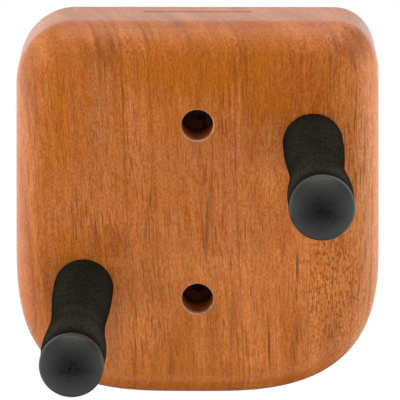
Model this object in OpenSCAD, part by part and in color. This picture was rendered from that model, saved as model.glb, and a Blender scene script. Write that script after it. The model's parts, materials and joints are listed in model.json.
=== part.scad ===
// Wall guitar hanger: a shaped wooden block that screws to the wall and two padded pegs that
// carry the headstock, the right one higher than the left. Millimetres, +Z up, the wall at Y = 0,
// and the origin on the wall face, midway between the two screw holes.

/* [Block] */
// Width of the wooden block at half its height
block_w = 115; // [108:0.5:135]
// Height of the wooden block
block_h = 123.3; // [118:0.1:140]
// Thickness of the block from the wall face to the front face
block_t = 26.7; // [24:0.1:36]
// How much the block widens from its top to its bottom
block_taper = 4.6; // [0:0.1:8]
// How far the middle of the block lies below the middle of the screw holes
block_drop = 1.5; // [0:0.1:3]
// Radius of the roundover along the front edge
front_round = 9.5; // [3:0.1:10]
// Chamfer along the edge on the wall side
back_chamfer = 0.8; // [0.3:0.1:1.5]

/* [Block corners] */
// Sideways reach of the top left corner
top_left_reach_x = 18.4; // [16:0.2:30]
// Reach of the top left corner down the side
top_left_reach_z = 20; // [17:0.2:30]
// Fullness of the top left corner: 2 is an ellipse, more is squarer
top_left_fullness = 2.05; // [2:0.05:2.5]
// Sideways reach of the top right corner
top_right_reach_x = 14.4; // [14:0.2:24]
// Reach of the top right corner down the side
top_right_reach_z = 17.8; // [16:0.2:20]
// Fullness of the top right corner
top_right_fullness = 2.25; // [2:0.05:2.3]
// Reach of the bottom left corner up the side
bottom_left_reach_z = 54.8; // [40:0.2:60]
// Fullness of the bottom left corner
bottom_left_fullness = 3.25; // [2:0.05:3.6]
// Reach of the bottom right corner up the side
bottom_right_reach_z = 51; // [40:0.2:60]
// Fullness of the bottom right corner
bottom_right_fullness = 2.8; // [2:0.05:3.6]
// Straight length left between the bottom corners
bottom_flat = 4; // [2:0.5:12]

/* [Screw holes] */
// Distance between the upper and the lower screw hole
screw_spacing = 57.4; // [50:0.2:70]
// Clearance hole for the screw's shank
screw_clear_d = 4.5; // [4:0.1:6.5]
// Counterbore for the screw's head
screw_head_d = 10; // [8:0.1:13]
// Depth of the counterbore from the front face
screw_head_depth = 13; // [6:0.5:16]
// Chamfer at the rim of the counterbore
screw_rim = 0.35; // [0.1:0.05:1]

/* [Pick slot] */
// Length of the slot in the top face
slot_len = 34; // [20:1:44]
// Width of the slot
slot_w = 0.7; // [0.5:0.1:2.4]
// Diameter of the saw that cuts the slot
saw_d = 60; // [56:1:90]
// Distance from the wall face to the middle of the slot
slot_from_wall = 7; // [4:0.5:12]

/* [Pegs] */
// Sideways distance between the two pegs
peg_spread = 72; // [66:0.5:80]
// Height of the right peg above the left peg
peg_stagger = 48.1; // [0:0.1:52]
// How far the middle of the pegs lies below the middle of the screw holes
peg_drop = 0.7; // [0:0.1:3]
// Upward tilt of the pegs
peg_tilt = 4.1; // [0:0.1:5]
// Diameter of the peg rod inside the sleeve
rod_d = 10; // [9:0.2:11]
// Thread diameter of the rod's tail
thread_d = 8; // [6:0.5:8]
// Depth of the spot face that seats the peg in the front face
seat_depth = 3; // [2.8:0.1:3.6]

/* [Sleeves] */
// Length of the padded sleeve, front face to outer edge
sleeve_len = 82.9; // [76:0.1:95]
// Diameter at the block
base_d = 18.9; // [18.1:0.1:21]
// Diameter at the waist
waist_d = 16.7; // [14:0.1:18]
// Diameter at the bulb near the outer end
bulb_d = 19.3; // [18:0.1:22]
// Diameter at the outer edge
edge_d = 17.6; // [16:0.1:20]
// Distance from the front face to the waist
waist_at = 42; // [32:1:50]
// Distance from the front face to the bulb
bulb_at = 72; // [60:1:76]
// How long the base holds its width before it draws in: 1 is even, more is longer
base_hold = 1.5; // [1:0.05:2]
// How long the waist holds its width before it swells
waist_hold = 1.3; // [1:0.05:2]
// Radial play of the sleeve on its rod
sleeve_play = 0.06; // [0.02:0.01:0.1]

/* [End caps] */
// Diameter of the cap
rim_d = 18.9; // [18:0.1:20]
// Height of the wall
wall_h = 2.8; // [2:0.1:6]
// Height of the dome above the wall
dome_h = 3.7; // [2:0.1:5]
// Radius between the wall and the dome
shoulder_r = 1.8; // [0.8:0.1:2.6]
// Diameter of the plug that holds the cap in the rod
plug_d = 5; // [4:0.1:6]
// Number of barbs on the plug
barb_count = 4; // [2:1:5]

/* [Nuts and washers] */
// Width of the nut across its flats
nut_af = 13; // [12:0.5:14]
// Height of the nut
nut_h = 6.5; // [5:0.1:6.8]
// Diameter of the flat washers
washer_d = 16; // [15:0.5:17]
// Thickness of the flat washers
washer_t = 1.6; // [1.2:0.1:1.8]
// Diameter of the split lock washer
lock_d = 14; // [13:0.2:14.8]
// Thickness of the split lock washer
lock_t = 2; // [1.6:0.1:2.2]
// Diameter of the pocket for the nut in the wall face
pocket_d = 20; // [19:0.2:22]
// Depth of that pocket along the peg
pocket_depth = 13.2; // [13.2:0.2:15]

/* [Hidden] */
$fn = 64;
corner_steps = 16;
round_steps = 8;
profile_steps = 30;
dome_steps = 12;
shoulder_steps = 5;
cut = 1;                             // how far a cutter runs past the face that it opens
gap = 0.3;                           // room between a turning sleeve and its cap
face_gap = 0.15;                     // room between a turning sleeve and the front face

block_top = block_h / 2 - block_drop;
block_bottom = -block_h / 2 - block_drop;
right_peg = [peg_spread / 2, peg_stagger / 2 - peg_drop];
left_peg = [-peg_spread / 2, -peg_stagger / 2 - peg_drop];
slot_depth = saw_d / 2 - sqrt(pow(saw_d / 2, 2) - pow(slot_len / 2, 2));

// Places along a peg's own axis, measured outward from the front face
wall_at = -block_t / cos(peg_tilt);
shoulder_at = washer_t - seat_depth;
sleeve_from = (base_d / 2 * sin(peg_tilt) + face_gap) / cos(peg_tilt);
cap_at = sleeve_len + gap;
rod_end = sleeve_len - 2;
pocket_floor = wall_at + pocket_depth;
lock_at = pocket_floor - washer_t;
nut_at = lock_at - lock_t;
tail_end = nut_at - nut_h - 1.4;
plug_len = 12;
plug_clear = 0.02;
sleeve_bore = rod_d + 2 * sleeve_play;
seat_d = washer_d + 1;

wood_colour = [0.71, 0.41, 0.19];
foam_colour = [0.15, 0.13, 0.11];
cap_colour = [0.22, 0.22, 0.21];
steel_colour = [0.66, 0.67, 0.69];
zinc_colour = [0.78, 0.78, 0.75];

// Corners of the outline anticlockwise from the top right: side, reach and fullness
bottom_reach_x = (block_w - bottom_flat) / 2;
corners = [
    [[1, 1], [top_right_reach_x, top_right_reach_z], top_right_fullness],
    [[-1, 1], [top_left_reach_x, top_left_reach_z], top_left_fullness],
    [[-1, -1], [bottom_reach_x, bottom_left_reach_z], bottom_left_fullness],
    [[1, -1], [bottom_reach_x, bottom_right_reach_z], bottom_right_fullness]
];

// Share of the middle width at a height above the middle of the block
function widening(height) = 1 - block_taper / block_w * height / block_h;

// Quarter curve of one corner, drawn in square to the outline by an inset
function corner_curve(corner, inset) =
    let (
        side = corner[0],
        reach = corner[1],
        full = corner[2],
        centre = [block_w / 2 - reach.x, block_h / 2 - reach.y]
    )
    [
        for (i = [0 : corner_steps])
            let (
                turn = 90 * i / corner_steps,
                a = side.x * side.y > 0 ? turn : 90 - turn,
                on = [pow(cos(a), 2 / full), pow(sin(a), 2 / full)],
                slope = [pow(on.x, full - 1) / reach.x, pow(on.y, full - 1) / reach.y],
                out = slope / norm(slope),
                x = centre.x + reach.x * on.x - inset * out.x,
                z = side.y * (centre.y + reach.y * on.y - inset * out.y)
            )
            [side.x * x * widening(z), z - block_drop]
    ];

function outline(inset) = [for (corner = corners) each corner_curve(corner, inset)];

// Layers of the block from the wall outward: height above the wall and inset of the outline
layers = concat(
    [[0, back_chamfer], [back_chamfer, 0]],
    [
        for (i = [0 : round_steps])
            let (a = 90 * i / round_steps)
            [block_t - front_round + front_round * sin(a), front_round * (1 - cos(a))]
    ]
);

// Solid through a stack of rings with the same number of points
module stacked(rings) {
    n = len(rings[0]);
    last = len(rings) - 1;
    sides = [
        for (k = [0 : last - 1], i = [0 : n - 1], half = [0, 1])
            let (j = (i + 1) % n, low = k * n, high = low + n)
            half == 0 ? [low + i, high + i, high + j] : [low + i, high + j, low + j]
    ];
    wall_side = [for (i = [0 : n - 1]) i];
    front_side = [for (i = [n - 1 : -1 : 0]) last * n + i];
    polyhedron([for (ring = rings) each ring], concat([wall_side], sides, [front_side]));
}

// Puts a shape drawn along +Z onto a peg's axis, with its zero on the front face
module at_peg(place) {
    translate([place.x, -block_t, place.y])
        rotate([90 - peg_tilt, 0, 0])
            children();
}

// Points toward the room at a height on the block's centre line, from the wall face
module at_screw(height) {
    translate([0, 0, height])
        rotate([90, 0, 0])
            children();
}

module screw_hole() {
    translate([0, 0, -cut])
        cylinder(d = screw_clear_d, h = block_t + 2 * cut);
    translate([0, 0, block_t - screw_head_depth])
        cylinder(d = screw_head_d, h = screw_head_depth + cut);
    translate([0, 0, block_t - screw_rim])
        cylinder(d1 = screw_head_d, d2 = screw_head_d + 4 * screw_rim, h = 2 * screw_rim);
}

// Everything that one peg needs cut in the wood
module peg_hole() {
    translate([0, 0, wall_at - cut])
        cylinder(d = thread_d + 0.4, h = cut - wall_at);
    translate([0, 0, -seat_depth])
        cylinder(d = seat_d, h = seat_depth + 4);
    translate([0, 0, wall_at - 4])
        cylinder(d = pocket_d, h = pocket_depth + 4);
}

module pick_slot() {
    translate([0, -slot_from_wall, block_top + saw_d / 2 - slot_depth])
        rotate([90, 0, 0])
            cylinder(d = saw_d, h = slot_w, center = true, $fn = 128);
}

module wood_block() {
    color(wood_colour)
    difference() {
        rotate([90, 0, 0])
            stacked([for (l = layers) [for (p = outline(l[1])) [p.x, p.y, l[0]]]]);
        for (height = [-0.5, 0.5] * screw_spacing)
            at_screw(height) screw_hole();
        for (place = [right_peg, left_peg])
            at_peg(place) peg_hole();
        pick_slot();
    }
}

// Steel rod: threaded tail, shoulder on the front washer, blind hole for the cap's plug
module peg_rod() {
    thread_r = thread_d / 2;
    rod_r = rod_d / 2;
    plug_r = plug_d / 2;
    tip = 1;
    chamfer = 0.6;
    relief = [thread_r - 0.7, 1.2];
    hole_end = rod_end - plug_len - 1;
    color(steel_colour)
    rotate_extrude()
        polygon([
            [0, tail_end],
            [thread_r - tip, tail_end],
            [thread_r, tail_end + tip],
            [thread_r, shoulder_at - relief.y],
            [relief.x, shoulder_at - relief.y],
            [relief.x, shoulder_at],
            [rod_r, shoulder_at],
            [rod_r, rod_end - chamfer],
            [rod_r - chamfer, rod_end],
            [plug_r, rod_end],
            [plug_r, hole_end],
            [0, hole_end - plug_r / 2]
        ]);
}

// Level at both ends, from a at 0 to b at 1, starting later with a higher hold
function eased(a, b, t, hold) = (a + b) / 2 + (a - b) / 2 * cos(180 * pow(t, hold));

// Radius of the padded sleeve at a distance from the front face
function sleeve_radius(s) =
    s < waist_at ? eased(base_d, waist_d, s / waist_at, base_hold) / 2
    : s < bulb_at ? eased(waist_d, bulb_d, (s - waist_at) / (bulb_at - waist_at), waist_hold) / 2
    : (edge_d + (bulb_d - edge_d) * cos(90 * (s - bulb_at) / (sleeve_len - bulb_at))) / 2;

// Foam sleeve: drawn in to a waist, swelling to a bulb at its outer end
module padded_sleeve() {
    soft = 0.4;
    full_from = sleeve_from + soft;
    full_to = sleeve_len - soft;
    color(foam_colour)
    rotate_extrude()
        polygon(concat(
            [[sleeve_bore / 2, sleeve_from], [base_d / 2 - soft, sleeve_from]],
            [
                for (i = [0 : profile_steps])
                    let (s = full_from + (full_to - full_from) * i / profile_steps)
                    [sleeve_radius(s), s]
            ],
            [[edge_d / 2 - soft, sleeve_len], [sleeve_bore / 2, sleeve_len]]
        ));
}

// Rubber cap: a low dome on a short wall, with a barbed plug pressed into the end of the rod
module end_cap() {
    rim_r = rim_d / 2;
    ease = 0.3;
    boss_r = rod_d / 2 - 0.4;
    barb_r = plug_d / 2 - plug_clear;
    stem_r = barb_r - 0.35;
    ball_r = (rim_r * rim_r + dome_h * dome_h) / (2 * dome_h);
    ball_at = cap_at + wall_h + dome_h - ball_r;
    turn_r = rim_r - shoulder_r;
    turn_at = ball_at + sqrt(pow(ball_r - shoulder_r, 2) - pow(turn_r, 2));
    dome_angle = asin(turn_r / (ball_r - shoulder_r));
    barb_step = (plug_len - 1) / barb_count;
    plug_end = rod_end - plug_len;
    color(cap_colour)
    rotate_extrude()
        polygon(concat(
            [[0, plug_end]],
            [
                for (i = [0 : barb_count - 1])
                    each [
                        [stem_r, plug_end + i * barb_step],
                        [barb_r, plug_end + (i + 0.8) * barb_step]
                    ]
            ],
            [
                [stem_r, rod_end - 1],
                [stem_r, rod_end],
                [boss_r, rod_end],
                [boss_r, cap_at],
                [rim_r - ease, cap_at],
                [rim_r, cap_at + ease]
            ],
            [
                for (i = [0 : shoulder_steps - 1])
                    let (a = 90 - (90 - dome_angle) * i / shoulder_steps)
                    [turn_r + shoulder_r * sin(a), turn_at + shoulder_r * cos(a)]
            ],
            [
                for (i = [0 : dome_steps])
                    let (a = dome_angle * (1 - i / dome_steps))
                    [ball_r * sin(a), ball_at + ball_r * cos(a)]
            ]
        ));
}

// Ring with eased outer edges, standing on its lower face
module ring(outer, inner, height) {
    ease = 0.2;
    rotate_extrude()
        polygon([
            [inner / 2, 0],
            [outer / 2 - ease, 0],
            [outer / 2, ease],
            [outer / 2, height - ease],
            [outer / 2 - ease, height],
            [inner / 2, height]
        ]);
}

module flat_washer() {
    color(zinc_colour)
        ring(washer_d, thread_d + 0.4, washer_t);
}

// Spring ring with its slanted split
module lock_washer() {
    split = [washer_d, 1.2, 3 * lock_t];
    color(zinc_colour)
    difference() {
        ring(lock_d, thread_d + 0.3, lock_t);
        translate([0, 0, lock_t / 2])
            rotate([25, 0, 0])
                translate([0, -split.y / 2, -split.z / 2])
                    cube(split);
    }
}

// Hexagon nut with its corners turned off and its bore opened at both faces
module hex_nut() {
    corner_r = nut_af / 2 / cos(30);
    bore_r = thread_d / 2 + 0.03;
    lead = 0.6;
    crown = 0.5;
    color(zinc_colour)
    difference() {
        intersection() {
            cylinder(r = corner_r, h = nut_h, $fn = 6);
            rotate_extrude()
                polygon([
                    [0, 0],
                    [nut_af / 2, 0],
                    [corner_r + 0.1, crown],
                    [corner_r + 0.1, nut_h - crown],
                    [nut_af / 2, nut_h],
                    [0, nut_h]
                ]);
        }
        translate([0, 0, -cut])
            cylinder(r = bore_r, h = nut_h + 2 * cut);
        translate([0, 0, nut_h - lead])
            cylinder(r1 = bore_r, r2 = bore_r + 2 * lead, h = 2 * lead);
        translate([0, 0, -lead])
            cylinder(r1 = bore_r + 2 * lead, r2 = bore_r, h = 2 * lead);
    }
}

// The pieces of a peg at their places along its axis
module front_washer_on_axis() {
    translate([0, 0, -seat_depth]) flat_washer();
}

module rear_washer_on_axis() {
    translate([0, 0, lock_at]) flat_washer();
}

module lock_washer_on_axis() {
    translate([0, 0, nut_at]) lock_washer();
}

module nut_on_axis() {
    translate([0, 0, nut_at - nut_h]) hex_nut();
}

wood_block();

at_peg(right_peg) peg_rod();  // right_peg_rod
at_peg(right_peg) padded_sleeve();  // right_sleeve
at_peg(right_peg) end_cap();  // right_end_cap
at_peg(right_peg) front_washer_on_axis();  // right_front_washer
at_peg(right_peg) rear_washer_on_axis();  // right_rear_washer
at_peg(right_peg) lock_washer_on_axis();  // right_lock_washer
at_peg(right_peg) nut_on_axis();  // right_nut

at_peg(left_peg) peg_rod();  // left_peg_rod
at_peg(left_peg) padded_sleeve();  // left_sleeve
at_peg(left_peg) end_cap();  // left_end_cap
at_peg(left_peg) front_washer_on_axis();  // left_front_washer
at_peg(left_peg) rear_washer_on_axis();  // left_rear_washer
at_peg(left_peg) lock_washer_on_axis();  // left_lock_washer
at_peg(left_peg) nut_on_axis();  // left_nut
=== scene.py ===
import json
import math

import bpy
from mathutils import Matrix, Vector, noise


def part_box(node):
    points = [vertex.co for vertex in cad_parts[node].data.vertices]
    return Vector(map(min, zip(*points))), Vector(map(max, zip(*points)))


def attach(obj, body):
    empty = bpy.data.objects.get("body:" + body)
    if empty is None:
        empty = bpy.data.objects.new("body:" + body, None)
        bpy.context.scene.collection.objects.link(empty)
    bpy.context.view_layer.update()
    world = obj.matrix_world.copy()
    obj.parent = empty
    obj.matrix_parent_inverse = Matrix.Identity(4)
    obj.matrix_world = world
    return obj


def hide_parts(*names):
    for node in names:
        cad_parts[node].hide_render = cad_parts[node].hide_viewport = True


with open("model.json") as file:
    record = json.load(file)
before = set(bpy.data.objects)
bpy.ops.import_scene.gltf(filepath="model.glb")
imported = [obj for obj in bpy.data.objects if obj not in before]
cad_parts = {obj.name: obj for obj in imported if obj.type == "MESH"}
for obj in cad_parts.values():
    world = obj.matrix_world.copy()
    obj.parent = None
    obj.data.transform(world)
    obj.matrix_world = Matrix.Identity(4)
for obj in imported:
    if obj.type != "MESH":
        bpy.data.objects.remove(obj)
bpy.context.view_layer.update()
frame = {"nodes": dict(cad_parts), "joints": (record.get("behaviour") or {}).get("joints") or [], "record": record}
record = frame["record"]
scene = bpy.context.scene
blockLow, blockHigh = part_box("wood_block")
print("frame loaded with", len(frame["nodes"]), "nodes")

millimetre = 0.001


# camera: a long lens a little above the block, nearly square to it

cameraView = {
    "elevation": 17.97,               # degrees above the block's front
    "azimuth": 0.267,
    "distance": 0.945,
    "aim": (0.00083, blockLow.y, 0.0043),
    "focalPixels": 3009.5,
    "imagePixels": 400,
    "sensor": 36.0,
}


def addCamera(view):
    upward = math.radians(view["elevation"])
    sideways = math.radians(view["azimuth"])
    level = math.cos(upward)
    back = Vector((math.sin(sideways) * level, -math.cos(sideways) * level, math.sin(upward)))
    data = bpy.data.cameras.new("photoCamera")
    data.sensor_width = view["sensor"]
    data.lens = view["focalPixels"] / view["imagePixels"] * view["sensor"]
    camera = bpy.data.objects.new("photoCamera", data)
    camera.location = Vector(view["aim"]) + back * view["distance"]
    camera.rotation_mode = "QUATERNION"
    camera.rotation_quaternion = (-back).to_track_quat("-Z", "Y")
    scene.collection.objects.link(camera)
    scene.camera = camera


addCamera(cameraView)
scene.view_settings.view_transform = "Standard"
print("camera placed")


# node helpers

def addNode(tree, kind, **settings):
    node = tree.nodes.new(kind)
    for name, value in settings.items():
        setattr(node, name, value)
    return node


def feed(tree, socket, value):
    if isinstance(value, bpy.types.NodeSocket):
        tree.links.new(value, socket)
    else:
        socket.default_value = value


def calc(tree, operation, first, second=0.0):
    node = addNode(tree, "ShaderNodeMath", operation=operation)
    feed(tree, node.inputs[0], first)
    feed(tree, node.inputs[1], second)
    return node.outputs[0]


def vectorCalc(tree, operation, first, second):
    node = addNode(tree, "ShaderNodeVectorMath", operation=operation)
    feed(tree, node.inputs[0], first)
    feed(tree, node.inputs[1], second)
    return node.outputs[1 if operation == "DISTANCE" else 0]


def parts(tree, vector):
    node = addNode(tree, "ShaderNodeSeparateXYZ")
    feed(tree, node.inputs[0], vector)
    return node.outputs


def joined(tree, x, y, z):
    node = addNode(tree, "ShaderNodeCombineXYZ")
    for socket, value in zip(node.inputs, (x, y, z)):
        feed(tree, socket, value)
    return node.outputs[0]


def remap(tree, value, low, high, toLow=0.0, toHigh=1.0, smooth=True):
    node = addNode(tree, "ShaderNodeMapRange", clamp=True)
    node.interpolation_type = "SMOOTHSTEP" if smooth else "LINEAR"
    for socket, number in zip(node.inputs, (value, low, high, toLow, toHigh)):
        feed(tree, socket, number)
    return node.outputs[0]


def noiseAt(tree, vector, scale=1.0, detail=2.0, rough=0.5):
    node = addNode(tree, "ShaderNodeTexNoise")
    feed(tree, node.inputs["Vector"], vector)
    feed(tree, node.inputs["Scale"], scale)
    feed(tree, node.inputs["Detail"], detail)
    feed(tree, node.inputs["Roughness"], rough)
    return node.outputs


def mixColour(tree, factor, first, second, blend="MIX"):
    node = addNode(tree, "ShaderNodeMix", data_type="RGBA", blend_type=blend)
    for index, value in ((0, factor), (6, first), (7, second)):
        if isinstance(value, tuple) and len(value) == 3:
            value = (*value, 1.0)
        feed(tree, node.inputs[index], value)
    return node.outputs[2]


def ramp(tree, factor, stops):
    node = addNode(tree, "ShaderNodeValToRGB")
    points = node.color_ramp.elements
    while len(points) < len(stops):
        points.new(1.0)
    for point, (place, colour) in zip(points, stops):
        point.position = place
        point.color = (*colour, 1.0)
    feed(tree, node.inputs[0], factor)
    return node.outputs[0]


def bump(tree, height, strength, depth):
    node = addNode(tree, "ShaderNodeBump")
    feed(tree, node.inputs["Strength"], strength)
    feed(tree, node.inputs["Distance"], depth)
    feed(tree, node.inputs["Height"], height)
    return node.outputs[0]


def newGroup(name, inputs, outputs):
    group = bpy.data.node_groups.new(name, "ShaderNodeTree")
    for label, kind in inputs:
        group.interface.new_socket(label, in_out="INPUT", socket_type=kind)
    for label in outputs:
        group.interface.new_socket(label, in_out="OUTPUT", socket_type="NodeSocketFloat")
    return group, group.nodes.new("NodeGroupInput"), group.nodes.new("NodeGroupOutput")


def placeGroup(tree, group, values):
    node = addNode(tree, "ShaderNodeGroup", node_tree=group)
    for name, value in values.items():
        feed(tree, node.inputs[name], value)
    return node.outputs


def newMaterial(name, roughness, specular, metallic=0.0):
    material = bpy.data.materials.new(name)
    material.use_nodes = True
    shader = material.node_tree.nodes["Principled BSDF"]
    shader.inputs["Roughness"].default_value = roughness
    shader.inputs["Specular IOR Level"].default_value = specular
    shader.inputs["Metallic"].default_value = metallic
    place = addNode(material.node_tree, "ShaderNodeTexCoord").outputs["Object"]
    return material, material.node_tree, shader.inputs, place


# straight grain shared by the finished, bored and cut wood

grainSizes = {
    "pith": (0.36, 0.145, 0.0),       # centre of the growth rings, far to the right behind the block
    "band": (170.0, 40.0, 5.0),       # repeats per metre across, along the rings and up the grain
    "hue": (95.0, 30.0, 7.0),
    "streak": (820.0, 330.0, 22.0),
    "vein": (190.0, 14.0, 4.0),
    "veinFade": (210.0, 60.0, 26.0),
    "fibre": (2700.0, 2700.0, 240.0),
    "grit": (2700.0, 2700.0, 1150.0),
    "pore": (2100.0, 2100.0, 95.0),
    "fleck": (2300.0, 2300.0, 620.0),
    "wander": (16.0, 16.0, 9.0),
    "wanderBy": 5.0 * millimetre,
    "lean": 0.07,                     # how far the grain leans to the left, for each unit upward
    "leanRight": 0.010,               # the same on the right, where it stands nearly upright
    "leanFrom": (-0.020, 0.030),
    "poreFrom": (0.70, 0.54),         # where pores start, with few and with many of them
    "poreEdge": 0.07,
    "veinTurn": 1 / 8,
    "veinEdge": (0.004, 0.022),
    "veinShown": (0.42, 0.64),
    "fleckEdge": (0.53, 0.62),
}


def makeGrainGroup(sizes):
    group, given, result = newGroup(
        "straightGrain",
        [("Position", "NodeSocketVector"), ("Pore Share", "NodeSocketFloat")],
        ["Across", "Band", "Hue", "Streak", "Vein", "Fibre", "Grit", "Pore", "Fleck"],
    )
    x, y, z = parts(group, given.outputs["Position"])
    lean = remap(group, x, *sizes["leanFrom"], sizes["lean"], sizes["leanRight"], smooth=False)
    place = joined(group, calc(group, "ADD", x, calc(group, "MULTIPLY", lean, z)), y, z)
    drift = noiseAt(group, vectorCalc(group, "MULTIPLY", place, sizes["wander"]))
    centred = vectorCalc(group, "SUBTRACT", drift["Color"], (0.5, 0.5, 0.5))
    scaled = addNode(group, "ShaderNodeVectorMath", operation="SCALE")
    feed(group, scaled.inputs[0], centred)
    feed(group, scaled.inputs["Scale"], sizes["wanderBy"])
    bent = vectorCalc(group, "ADD", place, scaled.outputs[0])
    x, y, z = parts(group, bent)
    fromPith = vectorCalc(group, "DISTANCE", joined(group, x, y, 0.0), sizes["pith"])
    ringed = joined(group, fromPith, y, z)
    pithX, pithY, _ = sizes["pith"]
    faceRing = math.hypot(pithX, pithY - blockLow.y)
    inward = calc(group, "SUBTRACT", faceRing, fromPith)

    def along(vector, name, detail, rough=0.5):
        return noiseAt(group, vectorCalc(group, "MULTIPLY", vector, sizes[name]), 1.0, detail, rough)[0]

    start = remap(group, given.outputs["Pore Share"], 0.0, 1.0, *sizes["poreFrom"], smooth=False)
    past = calc(group, "SUBTRACT", along(bent, "pore", 1.0), start)
    offLine = calc(group, "PINGPONG", along(ringed, "vein", 1.0), sizes["veinTurn"])
    onLine = remap(group, offLine, *sizes["veinEdge"], 1.0, 0.0)
    shown = remap(group, along(ringed, "veinFade", 1.0), *sizes["veinShown"])
    outputs = {
        "Across": calc(group, "MULTIPLY", inward, faceRing / pithX),
        "Band": along(ringed, "band", 2.5, 0.55),
        "Hue": along(ringed, "hue", 2.0),
        "Streak": along(ringed, "streak", 3.0, 0.6),
        "Vein": calc(group, "MULTIPLY", onLine, shown),
        "Fibre": along(bent, "fibre", 1.0),
        "Grit": along(bent, "grit", 0.0),
        "Pore": remap(group, past, 0.0, sizes["poreEdge"]),
        "Fleck": remap(group, along(bent, "fleck", 1.5), *sizes["fleckEdge"]),
    }
    for name, socket in outputs.items():
        feed(group, result.inputs[name], socket)
    return group


grainGroup = makeGrainGroup(grainSizes)


# finished face of the block: warm brown with golden and pink bands under a satin lacquer

woodLook = {
    "deep": (0.395, 0.102, 0.010),
    "middle": (0.485, 0.140, 0.018),
    "pale": (0.580, 0.186, 0.034),
    "gold": (0.420, 0.112, 0.002),
    "pink": (0.500, 0.158, 0.038),
    "tan": (0.490, 0.178, 0.036),
    "grey": (0.400, 0.130, 0.028),
    "umber": (0.300, 0.080, 0.008),
    "shade": (0.82, 0.62, 0.08),      # multipliers of the darkest and lightest fibres
    "shine": (1.09, 1.20, 2.00),
    "vein": (0.230, 0.054, 0.002),
    "pore": (0.195, 0.048, 0.002),
    "fleck": (0.225, 0.048, 0.003),
    "stain": (0.180, 0.040, 0.002),
    "bands": (0.30, 0.50, 0.70),      # where the bands are deep, middle and pale
    "hueShare": 0.8,
    "streakTones": (0.89, 1.11),
    "fibreTones": (0.36, 0.64),
    "veinShare": 0.55,
    "poreShare": 0.70,
    "fleckShare": 0.85,
    "poreAreas": (70.0, 70.0, 12.0),  # repeats per metre of the areas with few and many pores
    "poreCounts": (0.20, 0.75),
    "fray": (900.0, 900.0, 120.0),    # the same for the ragged edges of the stains
    "ragged": 1.6,                    # how far the edges of stains and patches stray
    "roughness": 0.25,
    "poreDull": 0.05,                 # how much duller the lacquer is over the pores
    "streakDull": 0.03,
    "specular": 0.46,
    "relief": 0.12,
    "reliefDepth": 0.06 * millimetre,
    "patches": [
        # colour, across, height, half width, half height, strength
        ("gold", 0.0060, 0.0465, 0.0400, 0.0120, 0.95),
        ("gold", -0.0450, 0.0250, 0.0040, 0.0300, 0.55),
        ("grey", -0.0300, 0.0330, 0.0045, 0.0260, 0.60),
        ("tan", 0.0510, -0.0020, 0.0120, 0.0560, 0.85),
        ("pink", 0.0050, -0.0080, 0.0300, 0.0200, 0.45),
        ("pink", -0.0020, 0.0170, 0.0240, 0.0090, 0.50),
        ("pink", -0.0360, 0.0020, 0.0140, 0.0160, 0.70),
        ("deep", 0.0330, 0.0410, 0.0135, 0.0130, 1.00),
        ("pale", 0.0370, -0.0200, 0.0140, 0.0140, 0.95),
        ("pale", -0.0180, -0.0350, 0.0110, 0.0120, 0.90),
        ("gold", 0.0000, -0.0560, 0.0400, 0.0060, 0.80),
        ("gold", 0.0207, 0.0350, 0.0090, 0.0075, 0.85),
        ("gold", -0.0520, 0.0470, 0.0060, 0.0090, 0.90),
        ("pale", 0.0040, -0.0200, 0.0300, 0.0085, 0.75),
        # painted light: these two pale patches lift the shade beside the right peg
        ("pale", 0.0233, 0.0160, 0.0055, 0.0140, 0.90),
        ("pale", 0.0456, 0.0235, 0.0055, 0.0105, 1.00),
        ("grey", -0.0272, -0.0395, 0.0050, 0.0150, 0.80),
        ("umber", -0.0285, -0.0100, 0.0085, 0.0060, 0.60),
        ("umber", -0.0288, 0.0524, 0.0060, 0.0060, 0.55),
        ("umber", 0.0500, 0.0545, 0.0070, 0.0070, 0.90),
    ],
    "stains": [
        # across, height, half width, half height, strength
        (-0.0272, 0.0555, 0.0008, 0.0060, 0.50),
        (-0.0228, 0.0560, 0.0007, 0.0060, 0.50),
        (-0.0120, 0.0565, 0.0005, 0.0055, 0.50),
        (0.0006, 0.0555, 0.0008, 0.0050, 0.30),
        (0.0149, 0.0550, 0.0006, 0.0085, 0.40),
        (0.0164, 0.0520, 0.0005, 0.0100, 0.40),
        (0.0432, 0.0540, 0.0007, 0.0080, 0.40),
        (0.0221, -0.0445, 0.0004, 0.0090, 0.80),
        (0.0315, -0.0175, 0.0004, 0.0060, 0.80),
        (0.0313, -0.0400, 0.0005, 0.0050, 0.65),
        (0.0144, -0.0435, 0.0004, 0.0070, 0.60),
        (-0.0112, -0.0480, 0.0004, 0.0100, 0.55),
    ],
    "fleckPatch": (0.0430, -0.0270, 0.0110, 0.0260),
}


def patchReach(tree, place, across, height, wide, tall):
    # 0 in the middle of an upright oval patch, 1 at its edge
    x, _, z = parts(tree, place)
    sideways = calc(tree, "DIVIDE", calc(tree, "SUBTRACT", x, across), wide)
    upward = calc(tree, "DIVIDE", calc(tree, "SUBTRACT", z, height), tall)
    squares = calc(tree, "ADD", calc(tree, "POWER", sideways, 2.0), calc(tree, "POWER", upward, 2.0))
    return calc(tree, "SQRT", squares)


def stainMask(tree, place, across, look):
    edges = noiseAt(tree, vectorCalc(tree, "MULTIPLY", place, look["fray"]))[0]
    _, y, z = parts(tree, place)
    ringPlace = joined(tree, across, y, z)
    fray = calc(tree, "MULTIPLY", calc(tree, "SUBTRACT", edges, 0.5), look["ragged"])
    total = None
    for middle, height, wide, tall, strength in look["stains"]:
        reach = patchReach(tree, ringPlace, middle, height, wide, tall)
        spot = remap(tree, calc(tree, "ADD", reach, fray), 0.3, 1.4, strength, 0.0)
        total = spot if total is None else calc(tree, "MAXIMUM", total, spot)
    return total


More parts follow.
